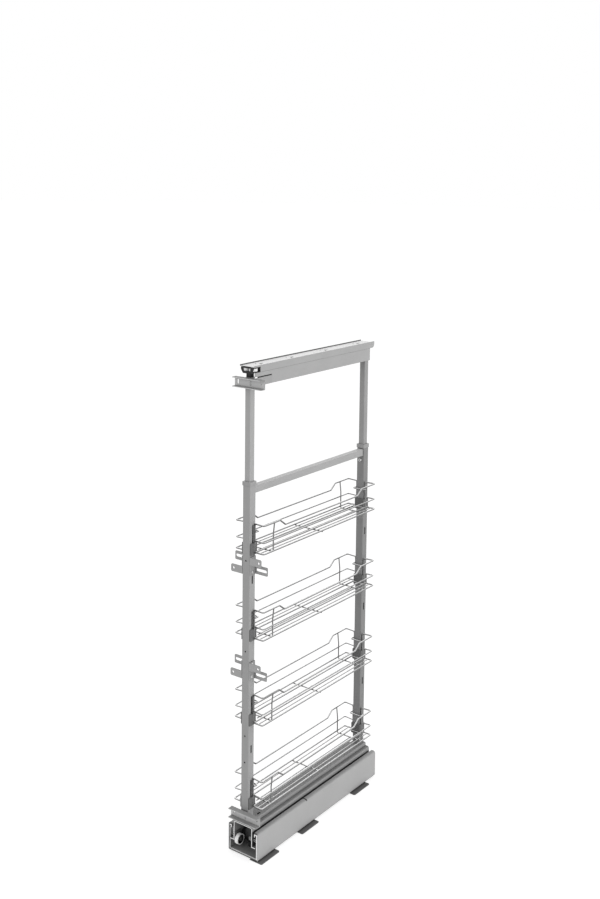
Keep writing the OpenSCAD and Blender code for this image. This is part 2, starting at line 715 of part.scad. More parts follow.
// Outline of the guide's head, from z0 up, with its lower corners drawn in
module guide_outline(z0) {
    a = guide_w / 2;
    b = guide_w / 3;
    polygon([[-a, guide_z1], [a, guide_z1], [a, guide_z1 - 6], [b, z0], [-b, z0], [-a, guide_z1 - 6]]);
}

// Moulded head that runs in the top rail, open to the front and the sides for its rollers,
// with a neck down to join_z and a stem inside the tube
module top_guide(y, z0, join_z) color("dimgray") translate([0, y, 0]) {
    difference() {
        union() {
            along_y(-guide_d / 2, guide_d / 2) guide_outline(z0);
            translate([-neck_w / 2, -neck_w / 2, join_z - cut]) cube([neck_w, neck_w, z0 - join_z + 2 * cut]);
            translate([0, 0, join_z - stem_l]) linear_extrude(stem_l)
                rounded_rect(stem_w, -stem_w / 2, stem_w / 2, tube_bend);
        }
        translate([-guide_window / 2, -guide_d, guide_roller_z - pocket])
            cube([guide_window, 2 * guide_d, guide_roller_h + 2 * pocket]);
        for (s = [-1, 1]) translate([s * guide_roller_x, guide_roller_y, guide_roller_z - pocket])
            cylinder(h = guide_roller_h + 2 * pocket, r = guide_roller_r + pocket);
    }
    for (s = [-1, 1]) translate([s * guide_roller_x, guide_roller_y, guide_roller_z - cut])
        cylinder(h = guide_roller_h + 2 * cut, d = guide_axle_d);
}
stem_l = 25;

module guide_roller(s, y) color("white")
    translate([s * guide_roller_x, y + guide_roller_y, guide_roller_z]) difference() {
        cylinder(h = guide_roller_h, r = guide_roller_r);
        translate([0, 0, -cut]) cylinder(h = guide_roller_h + 2 * cut, d = guide_axle_d + 2 * fit);
    }

// ---------- top rail ----------

rail_y0 = front_y + 5.5;
rail_y1 = rail_y0 + top_rail_len;
rail_holes = [45, 175, 330, 490];
rail_end_r = 11;
// Takes the lower rear corner of the rail's walls off to a radius
module rail_end_cut() difference() {
    translate([0, -rail_end_r, -cut]) cube([2 * top_w, rail_end_r + cut, rail_end_r + cut]);
    translate([-cut, -rail_end_r, rail_end_r]) rotate([0, 90, 0])
        cylinder(h = 2 * top_w + 2 * cut, r = rail_end_r);
}

module top_rail() color("whitesmoke") difference() {
    along_y(rail_y0, rail_y1) {
        for (sx = [-1, 1]) translate([sx * (top_w - top_t) / 2 - top_t / 2, rail_top_z0])
            square([top_t, top_rail_h]);
        translate([-top_w / 2, plate_z1 - top_t]) square([top_w, top_t]);
    }
    translate([-top_w, rail_y0 - cut, rail_top_z0 - cut])
        cube([2 * top_w, 25 + cut, plate_z1 - top_t - rail_top_z0 + cut]);
    translate([-top_w, rail_y1, rail_top_z0]) rail_end_cut();
    for (y = rail_holes) {
        for (x = [-9, 9]) translate([x, rail_y0 + y, plate_z1 - top_t - cut])
            cylinder(h = top_t + 2 * cut, d = 5);
        translate([0, rail_y0 + y + 12, plate_z1 - top_t - cut])
            linear_extrude(top_t + 2 * cut) slot_2d(5, 14);
    }
}

// ---------- baskets ----------

end_y = basket_l / 2;
side_x = basket_w / 2;
hanger_x = post_w / 2 + run + wire_d / 2;
hanger_y = end_y - 3.5;
post_in_y = post_y[1] - post_w / 2;       // inboard face of the rear post
inner_wire_x = hanger_x + wire_d - 0.8;   // lengthwise wire beside the posts
notch_y = post_in_y - run - clip_t + 0.4; // cross wire at the basket's notch
raised_l = 68;
ramp_l = 22;
loop_h = 54;
cross_inset = 44;
weld = 0.5;                               // depth to which crossing wires are welded
tie_d = wire_d - 0.5;                     // short wires that end on a frame wire
cross_z = -(wire_d + cross_d) / 2 + weld;
thin_z = cross_z + (thin_d + cross_d) / 2 - 0.3;
centre_z = cross_z - (thin_d + cross_d) / 2 + 0.3;   // wire under the cross wires
cross_x = side_x - (wire_d + cross_d) / 2 + weld;
cross_bend = 4;
kink_bend = 20;

module basket(i) color("white") translate([0, 0, basket_z(i)]) {
    for (s = [-1, 1]) {
        rim_wire(s);
        side_wire(s);
        floor_loop(s);
        long_wire(s * (inner_wire_x + side_x) / 2, end_y, thin_z);
        cross_wire(s * (end_y - cross_inset));
    }
    straight_wire([-side_x, 0, cross_z], [side_x, 0, cross_z], cross_d);
    long_wire(0, end_y - cross_inset + 7, centre_z);
}

module long_wire(x, y, z) straight_wire([x, -y, z], [x, y, z], thin_d);

// Rim of one side: down the post at both ends, raised at the ends, low along the middle
module rim_wire(s) {
    ramp_y = end_y - raised_l;
    wire([[s * hanger_x, -hanger_y, -1], [s * hanger_x, -hanger_y, rim_high],
          [s * side_x, -end_y, rim_high], [s * side_x, -ramp_y, rim_high],
          [s * side_x, -ramp_y + ramp_l, rim_low], [s * side_x, ramp_y - ramp_l, rim_low],
          [s * side_x, ramp_y, rim_high], [s * side_x, end_y, rim_high],
          [s * hanger_x, hanger_y, rim_high], [s * hanger_x, hanger_y, -1]], wire_d, same(wire_bend, 8));
}

// Middle wire of one side, from hanger to hanger
module side_wire(s) {
    wire([[s * hanger_x, -hanger_y, mid_h], [s * side_x, -end_y, mid_h],
          [s * side_x, end_y, mid_h], [s * hanger_x, hanger_y, mid_h]], tie_d, same(wire_bend, 2));
}

// Closed loop of the floor: outer wire, end wires and the wire beside the posts
module floor_loop(s) {
    mid = (side_x + inner_wire_x) / 2 + 4;
    wire([[s * mid, -end_y, 0], [s * side_x, -end_y, 0], [s * side_x, end_y, 0],
          [s * inner_wire_x, end_y, 0], [s * inner_wire_x, -end_y, 0], [s * mid, -end_y, 0]],
         wire_d, same(wire_bend, 4));
}

// Loop behind each post at the hangers' middle, and the short cross wire under it. They are
// welded on after the rest, so each only meets the wires that it ends on.
touch = 0.02;
module basket_loops(i) color("white") translate([0, 0, basket_z(i)]) for (e = [-1, 1]) {
    x = inner_wire_x + 3;
    y = e * (post_in_y - 5.5);
    end_x = hanger_x + (wire_d + tie_d) / 2 - 0.15;
    tie_x = inner_wire_x - wire_d / 2 - touch;
    wire([[-end_x, e * (hanger_y + 1), loop_h], [-x, y, loop_h], [x, y, loop_h],
          [end_x, e * (hanger_y + 1), loop_h]], tie_d, same(wire_bend, 2));
    straight_wire([-tie_x, e * notch_y, 0], [tie_x, e * notch_y, 0], tie_d);
}

// Cross wire: from rim to rim, inside the side wires and under the floor
module cross_wire(y) {
    wire([[-side_x, y, rim_high], [-cross_x, y, rim_low - 14], [-cross_x, y, cross_z],
          [cross_x, y, cross_z], [cross_x, y, rim_low - 14], [side_x, y, rim_high]],
         cross_d, [kink_bend, cross_bend, cross_bend, kink_bend]);
}

clip_z0 = -6;
// U clip round the sides and inboard face of each post, grooved for the basket's wires
module basket_clips(i) color("dimgray") translate([0, 0, basket_z(i)])
    for (e = [0, 180]) rotate([0, 0, e]) difference() {
        translate([0, 0, clip_z0]) linear_extrude(clip_h) difference() {
            rounded_rect(post_w + 2 * run + 2 * clip_t, post_in_y - run - clip_t,
                         post_y[1] + post_w / 2 - 1, 2);
            translate([-post_w / 2 - run, post_in_y - run]) square([post_w + 2 * run, post_w + 20]);
        }
        for (s = [-1, 1]) {
            translate([s * hanger_x, hanger_y, -wire_d / 2 - fit]) cylinder(h = clip_h, d = wire_d + 2 * fit);
            translate([s * hanger_x, hanger_y, -wire_d / 2 - fit])
                translate([s > 0 ? 0 : -10, -wire_d / 2 - fit, 0]) cube([10, wire_d + 2 * fit, clip_h]);
        }
        translate([-20, notch_y, 0]) rotate([0, 90, 0]) cylinder(h = 40, d = wire_d + 2 * fit);
        translate([-20, notch_y - 10, -wire_d / 2 - fit]) cube([40, 10, wire_d + 2 * fit]);
    }

base_channel();
floor_tabs();
mirrored() slide_outer();  // slide_outer_left
slide_outer();  // slide_outer_right
soft_close_body();
soft_close_pin();
damper_cylinder();
closing_pawl();
mirrored() slide_middle();  // slide_middle_left
slide_middle();  // slide_middle_right
mirrored() ball_cages();  // ball_cages_left
ball_cages();  // ball_cages_right
carriage_channel();
mirrored() slide_inner();  // slide_inner_left
slide_inner();  // slide_inner_right
roller_bracket();
catch_roller();
frame_base_rail();
lower_post(post_y[0]);  // front_post
lower_post(post_y[1]);  // rear_post
post_collar(post_y[0]);  // front_collar
post_collar(post_y[1]);  // rear_collar
crossbar();
lock_screws();
bottom_bracket_spacer();
bracket_screws(web_y, bottom_bracket_z, 4, screw_x[0]);  // bottom_bracket_screws
front_bracket(web_y, bottom_bracket_z, 6, screw_x[0]);  // bottom_front_bracket
translate([0, 0, door_high_z]) rotate([0, 180, 0]) door_bracket();  // door_bracket_upper_left
translate([0, 0, door_high_z]) door_bracket();  // door_bracket_upper_right
translate([0, 0, door_low_z]) rotate([0, 180, 0]) door_bracket();  // door_bracket_lower_left
translate([0, 0, door_low_z]) door_bracket();  // door_bracket_lower_right
door_bracket_rivets();
upper_tube(post_y[0], head_z);  // front_upper_tube
upper_tube(post_y[1], top_bar_z1 - top_t);  // rear_upper_tube
top_bar();
front_head_bracket();
top_guide(post_y[0], rail_top_z0 - 3, head_z);  // front_guide
top_guide(post_y[1], rail_top_z0 + 0.5, top_bar_z1 - top_t);  // rear_guide
guide_roller(-1, post_y[0]);  // guide_roller_front_left
guide_roller(1, post_y[0]);  // guide_roller_front_right
guide_roller(-1, post_y[1]);  // guide_roller_rear_left
guide_roller(1, post_y[1]);  // guide_roller_rear_right
bracket_screws(top_web_y, top_bracket_z, 2, screw_x[1]);  // top_bracket_screws
front_bracket(top_web_y, top_bracket_z, 13, screw_x[1]);  // top_front_bracket
top_rail();
basket(0);  // bottom_basket
basket_loops(0);  // bottom_basket_loops
basket_clips(0);  // bottom_basket_clips
basket(1);  // lower_basket
basket_loops(1);  // lower_basket_loops
basket_clips(1);  // lower_basket_clips
basket(2);  // upper_basket
basket_loops(2);  // upper_basket_loops
basket_clips(2);  // upper_basket_clips
basket(3);  // top_basket
basket_loops(3);  // top_basket_loops
basket_clips(3);  // top_basket_clips
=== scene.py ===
import json
import math

import bpy
from mathutils import Matrix, Vector


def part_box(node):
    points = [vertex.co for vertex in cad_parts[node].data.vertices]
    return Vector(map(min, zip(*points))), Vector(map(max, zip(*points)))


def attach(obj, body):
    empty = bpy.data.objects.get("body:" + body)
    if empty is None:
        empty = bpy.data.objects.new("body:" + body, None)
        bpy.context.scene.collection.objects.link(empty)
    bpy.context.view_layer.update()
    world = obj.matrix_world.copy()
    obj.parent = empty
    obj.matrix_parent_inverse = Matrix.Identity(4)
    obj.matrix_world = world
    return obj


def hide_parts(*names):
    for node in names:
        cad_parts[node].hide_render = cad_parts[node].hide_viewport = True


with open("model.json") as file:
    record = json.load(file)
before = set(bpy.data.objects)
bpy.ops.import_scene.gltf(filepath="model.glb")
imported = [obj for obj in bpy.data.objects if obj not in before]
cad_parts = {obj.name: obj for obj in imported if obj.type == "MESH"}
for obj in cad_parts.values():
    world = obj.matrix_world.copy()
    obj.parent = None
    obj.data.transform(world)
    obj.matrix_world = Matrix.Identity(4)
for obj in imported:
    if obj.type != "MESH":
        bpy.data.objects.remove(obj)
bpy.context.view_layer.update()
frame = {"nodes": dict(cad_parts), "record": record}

# ---------- camera: fitted to the straight edges of the photograph ----------
AZ, PITCH, ROLL = math.radians(36.72), math.radians(5.70), math.radians(0.63)
CAMERA_AT = (1.8773, -2.5708, 1.8315)
LENS, SENSOR_WIDTH, SHIFT_Y = 47.38, 36.0, -0.19

fwd = Vector((-math.sin(AZ) * math.cos(PITCH), math.cos(AZ) * math.cos(PITCH),
              -math.sin(PITCH)))
level_right = Vector((math.cos(AZ), math.sin(AZ), 0.0))
level_up = level_right.cross(fwd)
right = level_right * math.cos(ROLL) + level_up * math.sin(ROLL)
up = level_up * math.cos(ROLL) - level_right * math.sin(ROLL)
cam_data = bpy.data.cameras.new("camera")
cam_data.sensor_width = SENSOR_WIDTH
cam_data.lens = LENS
cam_data.shift_y = SHIFT_Y
cam_data.clip_end = 50.0
cam = bpy.data.objects.new("camera", cam_data)
cam.matrix_world = Matrix((
    (right.x, up.x, -fwd.x, CAMERA_AT[0]),
    (right.y, up.y, -fwd.y, CAMERA_AT[1]),
    (right.z, up.z, -fwd.z, CAMERA_AT[2]),
    (0, 0, 0, 1)))
bpy.context.scene.collection.objects.link(cam)
bpy.context.scene.camera = cam
bpy.context.scene.view_settings.view_transform = "Standard"


# ---------- shader nodes ----------
def node(nt, kind, **inputs):
    n = nt.nodes.new(kind)
    for key, value in inputs.items():
        n.inputs[key.replace("_", " ")].default_value = value
    return n


def tone(v):
    """A grey level or an sRGB triple, 0 to 255, as a linear colour."""
    v = (v, v, v) if isinstance(v, (int, float)) else v
    v = [c / 255 for c in v]
    return tuple(((c + 0.055) / 1.055) ** 2.4 if c > 0.04045 else c / 12.92 for c in v) + (1.0,)


def math_node(nt, op, a, b=None):
    n = nt.nodes.new("ShaderNodeMath")
    n.operation = op
    for i, v in enumerate((a, b)):
        if v is None:
            continue
        if isinstance(v, (int, float)):
            n.inputs[i].default_value = v
        else:
            nt.links.new(v, n.inputs[i])
    return n.outputs[0]


def ramp(nt, value, lo, hi, to0=0.0, to1=1.0):
    """Runs from to0 at lo to to1 at hi, and stays level outside."""
    n = node(nt, "ShaderNodeMapRange", To_Min=to0, To_Max=to1, From_Min=lo, From_Max=hi)
    nt.links.new(value, n.inputs["Value"])
    return n.outputs["Result"]


def over(nt, value, edge, soft):
    """A mask that rises from 0 at the edge to 1 within the soft run above it."""
    return ramp(nt, value, edge, edge + soft)


def below(nt, value, edge, soft):
    """A mask that rises from 0 at the edge to 1 within the soft run below it."""
    return ramp(nt, value, edge, edge - soft)


def all_of(nt, mask, *more):
    for other in more:
        mask = math_node(nt, "MULTIPLY", mask, other)
    return mask


def any_of(nt, mask, *more):
    for other in more:
        mask = math_node(nt, "MAXIMUM", mask, other)
    return mask


def mix(nt, fac, a, b):
    n = nt.nodes.new("ShaderNodeMix")
    n.data_type = "RGBA"
    nt.links.new(fac, n.inputs["Factor"])
    for key, v in ((6, a), (7, b)):
        if isinstance(v, tuple):
            n.inputs[key].default_value = v
        else:
            nt.links.new(v, n.inputs[key])
    return n.outputs[2]


def split(nt, vector):
    n = nt.nodes.new("ShaderNodeSeparateXYZ")
    nt.links.new(vector, n.inputs[0])
    return n.outputs["X"], n.outputs["Y"], n.outputs["Z"]


def off(nt, value, middle):
    return math_node(nt, "ABSOLUTE", math_node(nt, "SUBTRACT", value, middle))


DRIFT = 0.03        # how far the slow drift takes a colour up and down
LEAST_ROUGH = 0.03


def finish_with_painted_light(name, side, top=None, front=None, chamfer=None, under=None, hollow=None,
           hollow_shade=1.0, reach=0.006, faces="True Normal", metallic=0.0, rough=0.45,
           rough_vary=0.08, grain=900.0, bump=0.08, stretch=(1, 1, 1), spec=0.4):
    """A procedural material with painted light and shade: tones for faces that look sideways,
    up, down and to the front, lighter or darker for how light falls on them, a slow drift of
    colour, painted shade in the hollows, and fine grain in the bump and the roughness."""
    m = bpy.data.materials.new(name)
    m.use_nodes = True
    nt = m.node_tree
    b = nt.nodes["Principled BSDF"]
    b.inputs["Metallic"].default_value = metallic
    b.inputs["Specular IOR Level"].default_value = spec
    place = nt.nodes.new("ShaderNodeTexCoord").outputs["Object"]
    mapping = nt.nodes.new("ShaderNodeMapping")
    mapping.inputs["Scale"].default_value = stretch
    nt.links.new(place, mapping.inputs["Vector"])
    slow = node(nt, "ShaderNodeTexNoise", Scale=14.0, Detail=4.0)
    fine = node(nt, "ShaderNodeTexNoise", Scale=grain, Detail=2.0)
    for texture in (slow, fine):
        nt.links.new(mapping.outputs["Vector"], texture.inputs["Vector"])
    normal = split(nt, nt.nodes.new("ShaderNodeNewGeometry").outputs[faces])
    nx, ny, nz = normal
    # painted light and shade: the top, under, chamfer and front tones stand in for how light
    # falls on faces by their direction
    color = mix(nt, over(nt, nz, 0.5, 0.4), tone(side), tone(side if top is None else top))
    if under is not None:
        color = mix(nt, below(nt, nz, 0.15, 0.6), color, tone(under))
    if chamfer is not None:
        band = all_of(nt, below(nt, ny, -0.3, 0.2), below(nt, nx, 0.5, 0.3))
        color = mix(nt, band, color, tone(chamfer))
    if front is not None:
        color = mix(nt, facing_front(nt, ny), color, tone(front))
    if hollow is not None:
        color = hollow(nt, place, normal, color)
    light = ramp(nt, slow.outputs["Fac"], 0.3, 0.7, 1 - DRIFT, 1 + DRIFT)
    # painted shade: ambient occlusion darkens the colour in hollows and corners
    if hollow_shade < 1.0:
        ao = node(nt, "ShaderNodeAmbientOcclusion", Distance=reach)
        ao.samples = 8
        light = all_of(nt, light, ramp(nt, ao.outputs["AO"], 0.15, 0.85, hollow_shade, 1.0))
    scaled = nt.nodes.new("ShaderNodeVectorMath")
    scaled.operation = "SCALE"
    nt.links.new(color, scaled.inputs[0])
    nt.links.new(light, scaled.inputs["Scale"])
    nt.links.new(scaled.outputs[0], b.inputs["Base Color"])
    least = max(LEAST_ROUGH, rough - rough_vary)
    nt.links.new(ramp(nt, fine.outputs["Fac"], 0.2, 0.8, least, rough + rough_vary),
                 b.inputs["Roughness"])
    relief = node(nt, "ShaderNodeBump", Strength=bump, Distance=0.0004)
    nt.links.new(fine.outputs["Fac"], relief.inputs["Height"])
    nt.links.new(relief.outputs["Normal"], b.inputs["Normal"])
    return m


# ---------- masks: where a material gets painted shade or painted highlights over its plain tones ---
def facing_front(nt, ny):
    return below(nt, ny, -0.9, 0.08)


def facing_in(nt, x, normal):
    """1 on walls that face the middle plane and on undersides."""
    nx, ny, nz = normal
    to_middle = math_node(nt, "MULTIPLY", math_node(nt, "SIGN", x), nx)
    return any_of(nt, below(nt, to_middle, -0.2, 0.2), below(nt, nz, -0.2, 0.2))


ROLLER_WEB_R = 0.0121


def roller_hollow(nt, place, normal, color):
    """Paints shade on the sunk web of the catch roller, by distance from its axle."""
    x, y, z = split(nt, place)
    lo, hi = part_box("catch_roller")
    dy = off(nt, y, (lo[1] + hi[1]) / 2)
    dz = off(nt, z, (lo[2] + hi[2]) / 2)
    square = math_node(nt, "ADD", all_of(nt, dy, dy), all_of(nt, dz, dz))
    r = math_node(nt, "SQRT", square)
    return mix(nt, below(nt, r, ROLLER_WEB_R, 0.0004), color, tone(44))


def dark_inside(name, *margins):
    """Paints near-black shade on what lies deeper than a margin inside a node's box, on each
    axis that has one.
    """
    lo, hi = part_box(name)

    def shade(nt, place, normal, color):
        masks = []
        for axis, (value, margin) in enumerate(zip(split(nt, place), margins)):
            if margin is not None:
                half = (hi[axis] - lo[axis]) / 2 - margin
                masks.append(below(nt, off(nt, value, (lo[axis] + hi[axis]) / 2), half, 0.0003))
        return mix(nt, all_of(nt, *masks), color, tone(10))
    return shade


PLATE_HALF = 0.0121     # half the width of the top rail's plate that holds its holes
PLATE_TOP = 0.0034      # from the rail's highest point down into the plate


def far_wall(nt, place, normal, color):
    """Paints shade on the inside face of the top rail's left wall, and near-black shade in the
    holes in its plate.
    """
    x, y, z = split(nt, place)
    lo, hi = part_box("top_rail")
    inside = all_of(nt, over(nt, normal[0], 0.6, 0.3), below(nt, x, 0.005, 0.010))
    color = mix(nt, inside, color, tone(95))
    hole = all_of(nt, below(nt, off(nt, x, 0.0), PLATE_HALF, 0.0002),
                  below(nt, z, hi[2] - PLATE_TOP, 0.0004))
    return mix(nt, hole, color, tone(10))


# The floor channel's front edge, where its painted shade and highlight lie, from the middle
# plane, the tabs' underside and the front
RIM_LEFT, RIM_RIGHT = -0.0450, 0.0478
RIM_HEIGHT = 0.0060
HIGHLIGHT_DEPTH = 0.0046
LEFT_WALL = -0.040
# its lip, down from its top and back from the front, and the notch across the lip
LIP_DROP, LIP_START = 0.014, 0.003
LIP_EDGE = 0.030
NOTCH_Y, NOTCH_HALF, NOTCH_DEPTH = -0.06325, 0.00185, 0.0037
NOTCH_MARGIN = 0.0008


def channel_depth(nt, place, normal, color):
    """Paints shade on the inside of the floor channel, darker with the distance from its open
    front end, on the rim of its cut front edge, on the lip's inside and in the lip's notch;
    paints a highlight on the inner faces just behind the front edge."""
    x, y, z = split(nt, place)
    nx, ny, nz = normal
    lo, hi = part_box("base_channel")
    above_tabs = over(nt, z, lo[2] + 0.002, 0.002)
    floor_face = all_of(nt, over(nt, nz, 0.7, 0.2), below(nt, z, hi[2] - 0.03, 0.01))
    inner = any_of(nt, all_of(nt, facing_in(nt, x, normal), above_tabs), floor_face)
    # painted shade inside the channel, darker with the distance back from its open front end
    color = mix(nt, inner, color, mix(nt, over(nt, y, lo[1], 0.2), tone(140), tone(50)))
    # painted shade on the rim of the front edge, on the left and below, with a painted highlight
    # inside it
    rim = any_of(nt, below(nt, x, RIM_LEFT, 0.0003), below(nt, z, lo[2] + RIM_HEIGHT, 0.0003))
    rim = all_of(nt, rim, below(nt, x, RIM_RIGHT, 0.0003), facing_front(nt, ny))
    color = mix(nt, rim, color, tone(88))
    wall = all_of(nt, over(nt, nx, 0.7, 0.2), below(nt, x, LEFT_WALL, 0.002))
    front_highlight = all_of(nt, any_of(nt, wall, floor_face),
                   below(nt, y, lo[1] + HIGHLIGHT_DEPTH, 0.0006))
    color = mix(nt, front_highlight, color, tone(252))
    # painted shade on the inside of the lip
    lip = all_of(nt, over(nt, z, hi[2] - LIP_DROP, 0.001), facing_in(nt, x, normal),
                 over(nt, y, lo[1] + LIP_START, 0.002))
    color = mix(nt, lip, color, tone(28))
    # painted shade in the notch across the lip
    half = (hi[0] - LIP_EDGE) / 2 - NOTCH_MARGIN
    notch = all_of(nt, below(nt, off(nt, y, NOTCH_Y), NOTCH_HALF, 0.00005),
                   below(nt, z, hi[2] - 0.0002, 0.0001),
                   over(nt, z, hi[2] - NOTCH_DEPTH, 0.0001),
                   below(nt, off(nt, x, (hi[0] + LIP_EDGE) / 2), half, 0.0002))
    return mix(nt, notch, color, tone(16))


def carriage_depth(nt, place, normal, color):
    """Paints shade on the inside of the carriage, seen at its front end and through its slots,
    and on the outside of its legs, down in the gap beside the channel's lips."""
    x, y, z = split(nt, place)
    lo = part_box("carriage_channel")[0]
    lip_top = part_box("base_channel")[1][2]
    # painted shade inside the carriage, darker further back from its front end
    shade = mix(nt, over(nt, y, lo[1], 0.14), tone(150), tone(36))
    color = mix(nt, facing_in(nt, x, normal), color, shade)
    # painted shade on the outside of the legs, in the gap beside the channel's lips
    to_side = math_node(nt, "MULTIPLY", math_node(nt, "SIGN", x), normal[0])
    gap = all_of(nt, over(nt, to_side, 0.2, 0.2), below(nt, z, lip_top + 0.0005, 0.0015))
    return mix(nt, gap, color, tone(52))


# ---------- materials: plain tones, with painted light and shade in their top, front, chamfer and under tones, and painted shade in their hollows ---
# painted highlight on the cut front edges of the channel and the carriage, partly their bare
# steel, and painted shade on the channel's front chamfers
channel = finish_with_painted_light("channel_paint", 178, top=158, front=252, chamfer=88,
                 hollow=channel_depth, hollow_shade=0.45, reach=0.008)
carriage = finish_with_painted_light("carriage_paint", 160, top=124, front=252, hollow=carriage_depth,
                  hollow_shade=0.45, reach=0.008)
rail = finish_with_painted_light("frame_rail_paint", 158, top=146,
              hollow=dark_inside("frame_base_rail", 0.0015, None, 0.0004), hollow_shade=0.3)
front_post = finish_with_painted_light("front_post_paint", 164, front=154,
                    hollow=dark_inside("front_post", 0.0004, 0.0004), hollow_shade=0.3)
# painted shade: the rear post's paint is a darker copy of the front post's
rear_post = finish_with_painted_light("rear_post_paint_with_painted_shade", 134, front=128,
                   hollow=dark_inside("rear_post", 0.0004, 0.0004), hollow_shade=0.3)
collar = finish_with_painted_light("collar_paint", 158, top=188, front=150, hollow_shade=0.35)
front_tube = finish_with_painted_light("front_tube_paint", 170, front=162, hollow_shade=0.35)
# painted shade: the rear tube's paint is a darker copy of the front tube's
rear_tube = finish_with_painted_light("rear_tube_paint_with_painted_shade", 156, front=146, hollow_shade=0.35)
bar = finish_with_painted_light("bar_paint", 170, top=204, hollow_shade=0.35)
top_bar = finish_with_painted_light("top_bar_paint", 170, top=180,
                 hollow=dark_inside("top_bar", 0.0008, None, 0.0004), hollow_shade=0.35)
head = finish_with_painted_light("head_bracket_paint", 164, top=150, hollow_shade=0.35)
# painted reflection: the top rail's top is painted white for the bright sky it mirrors at a
# grazing angle
top_rail = finish_with_painted_light("top_rail_paint", 170, top=255, hollow=far_wall, hollow_shade=0.45, reach=0.004)
bracket = finish_with_painted_light("front_bracket_paint", 170, top=150, front=194, under=110, hollow_shade=0.4)
door = finish_with_painted_light("door_bracket_paint", 150, top=134, front=162, hollow_shade=0.4)
tabs = finish_with_painted_light("tab_paint", 120, top=98, hollow_shade=0.5)
dark_steel = finish_with_painted_light("dark_bracket_steel", 90, hollow_shade=0.5)
# painted highlight on the slides' cut front edges, partly their bare steel
slide = finish_with_painted_light("slide_steel_brushed", 160, front=240, metallic=0.4, rough=0.32, grain=300,
               stretch=(8, 0.4, 8), bump=0.15, hollow_shade=0.4)
damper = finish_with_painted_light("damper_steel", 132, rough=0.4, hollow_shade=0.4)
bright = finish_with_painted_light("bright_zinc", 205, metallic=0.9, rough=0.28, grain=500, bump=0.05,
                hollow_shade=0.5)
black = finish_with_painted_light("black_moulded", (30, 30, 31), top=(52, 52, 54), rough=0.45, grain=1500,
               bump=0.2, spec=0.35, hollow_shade=0.5)
white = finish_with_painted_light("white_nylon", 244, rough=0.38, grain=1200, bump=0.05, hollow_shade=0.7)
roller = finish_with_painted_light("white_nylon_roller", 246, hollow=roller_hollow, rough=0.38, grain=1200,
                bump=0.05, faces="Normal")
# painted highlight and shade: the chrome wire is white on its upper side and dark on its
# underside
chrome = finish_with_painted_light("chrome_plated_wire", 138, top=255, under=70, metallic=0.8, rough=0.16,
                grain=200, bump=0.03, rough_vary=0.04, faces="Normal")
clip = finish_with_painted_light("clip_moulded", 104, top=128, front=92, rough=0.5, grain=1500, bump=0.2,
              hollow_shade=0.5)

SLOT = {"grey_steel": front_tube, "bracket_steel": bracket, "slide_steel": slide,
        "fastener_steel": bright, "black_plastic": black, "white_nylon": white,
        "chrome_wire": chrome, "clip_plastic": clip}
NODE = {"base_channel": channel, "carriage_channel": carriage, "frame_base_rail": rail,
        "front_post": front_post, "rear_post": rear_post, "front_collar": collar,
        "rear_collar": collar, "crossbar": bar, "rear_upper_tube": rear_tube,
        "top_bar": top_bar, "front_head_bracket": head, "top_rail": top_rail,
        "bottom_bracket_spacer": bracket, "roller_bracket": dark_steel,
        "damper_cylinder": damper, "floor_tabs": tabs, "catch_roller": roller}
for sub in frame["record"]["subparts"]:
    name, slot_name = sub["node"], sub["material_slot"]
    plain = SLOT[slot_name]
    if name.startswith("door_bracket_") and slot_name == "bracket_steel":
        plain = door
    o = frame["nodes"][name]
    for i in range(len(o.material_slots)):
        o.material_slots[i].material = NODE.get(name, plain)


# ---------- small pieces that the solids leave plain ----------
SMOOTH_TO = math.radians(35)


def mesh_object(name, verts, faces, mat, body):
    me = bpy.data.meshes.new(name)
    me.from_pydata([tuple(v) for v in verts], [], faces)
    me.materials.append(mat)
    for p in me.polygons:
        p.use_smooth = True
    me.set_sharp_from_angle(angle=SMOOTH_TO)
    me.validate()
    o = bpy.data.objects.new(name, me)
    bpy.context.scene.collection.objects.link(o)
    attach(o, body)
    return o


Z_AXIS = Vector((0, 0, 1))
BEAD_SIDES = 10


def weld_bead(name, points, radius, mat, body, seed):
    """A closed run of weld along a level path: a rippled tube, half sunk in the corner."""
    n = len(points)
    verts, faces = [], []
    for i, p in enumerate(points):
        d = (points[(i + 1) % n] - points[i - 1]).normalized()
        side = d.cross(Z_AXIS).normalized()
        ripple = 0.16 * math.sin(i * 2.4 + seed) + 0.08 * math.sin(i * 5.1 + 2 * seed)
        for k in range(BEAD_SIDES):
            a = 2 * math.pi * k / BEAD_SIDES
            verts.append(p + (side * math.cos(a) + Z_AXIS * math.sin(a)) * radius * (1 + ripple))
    for i in range(n):
        this, following = i * BEAD_SIDES, ((i + 1) % n) * BEAD_SIDES
        for k in range(BEAD_SIDES):
            k2 = (k + 1) % BEAD_SIDES
            faces.append((this + k, this + k2, following + k2, following + k))
    mesh_object(name, verts, faces, mat, body)


CORNER_R = 0.0015
BEAD_PACE = 0.0012      # length between two rings of the bead on a straight side


def square_path(cx, cy, z, half):
    """Points round a square with round corners, in order, with short even steps."""
    reach = half - CORNER_R
    out = []
    for i, (sx, sy) in enumerate(((1, -1), (1, 1), (-1, 1), (-1, -1))):
        for k in range(5):
            a = math.radians(-90 + 90 * i + 22.5 * k)
            out.append(Vector((cx + sx * reach + CORNER_R * math.cos(a),
                               cy + sy * reach + CORNER_R * math.sin(a), z)))
        nx, ny = ((1, 1), (-1, 1), (-1, -1), (1, -1))[i]
        along_x, along_y = (half, reach) if i % 2 == 0 else (reach, half)
        b = Vector((cx + nx * along_x, cy + ny * along_y, z))
        a = out[-1].copy()
        count = max(2, int((b - a).length / BEAD_PACE))
        out += [a.lerp(b, t / count) for t in range(1, count)]
    return out


SCREW_SIDES = 48
CROSS, HEXAGON = 4, 6


def recess_radius(kind, head_r, a):
    """Radius of a sunk cross or hexagon at an angle."""
    if kind == HEXAGON:
        return (head_r * 0.5 * math.cos(math.pi / 6)
                / math.cos((a % (math.pi / 3)) - math.pi / 6))
    return head_r * (0.12 + 0.46 * abs(math.cos(2 * a)) ** 6)


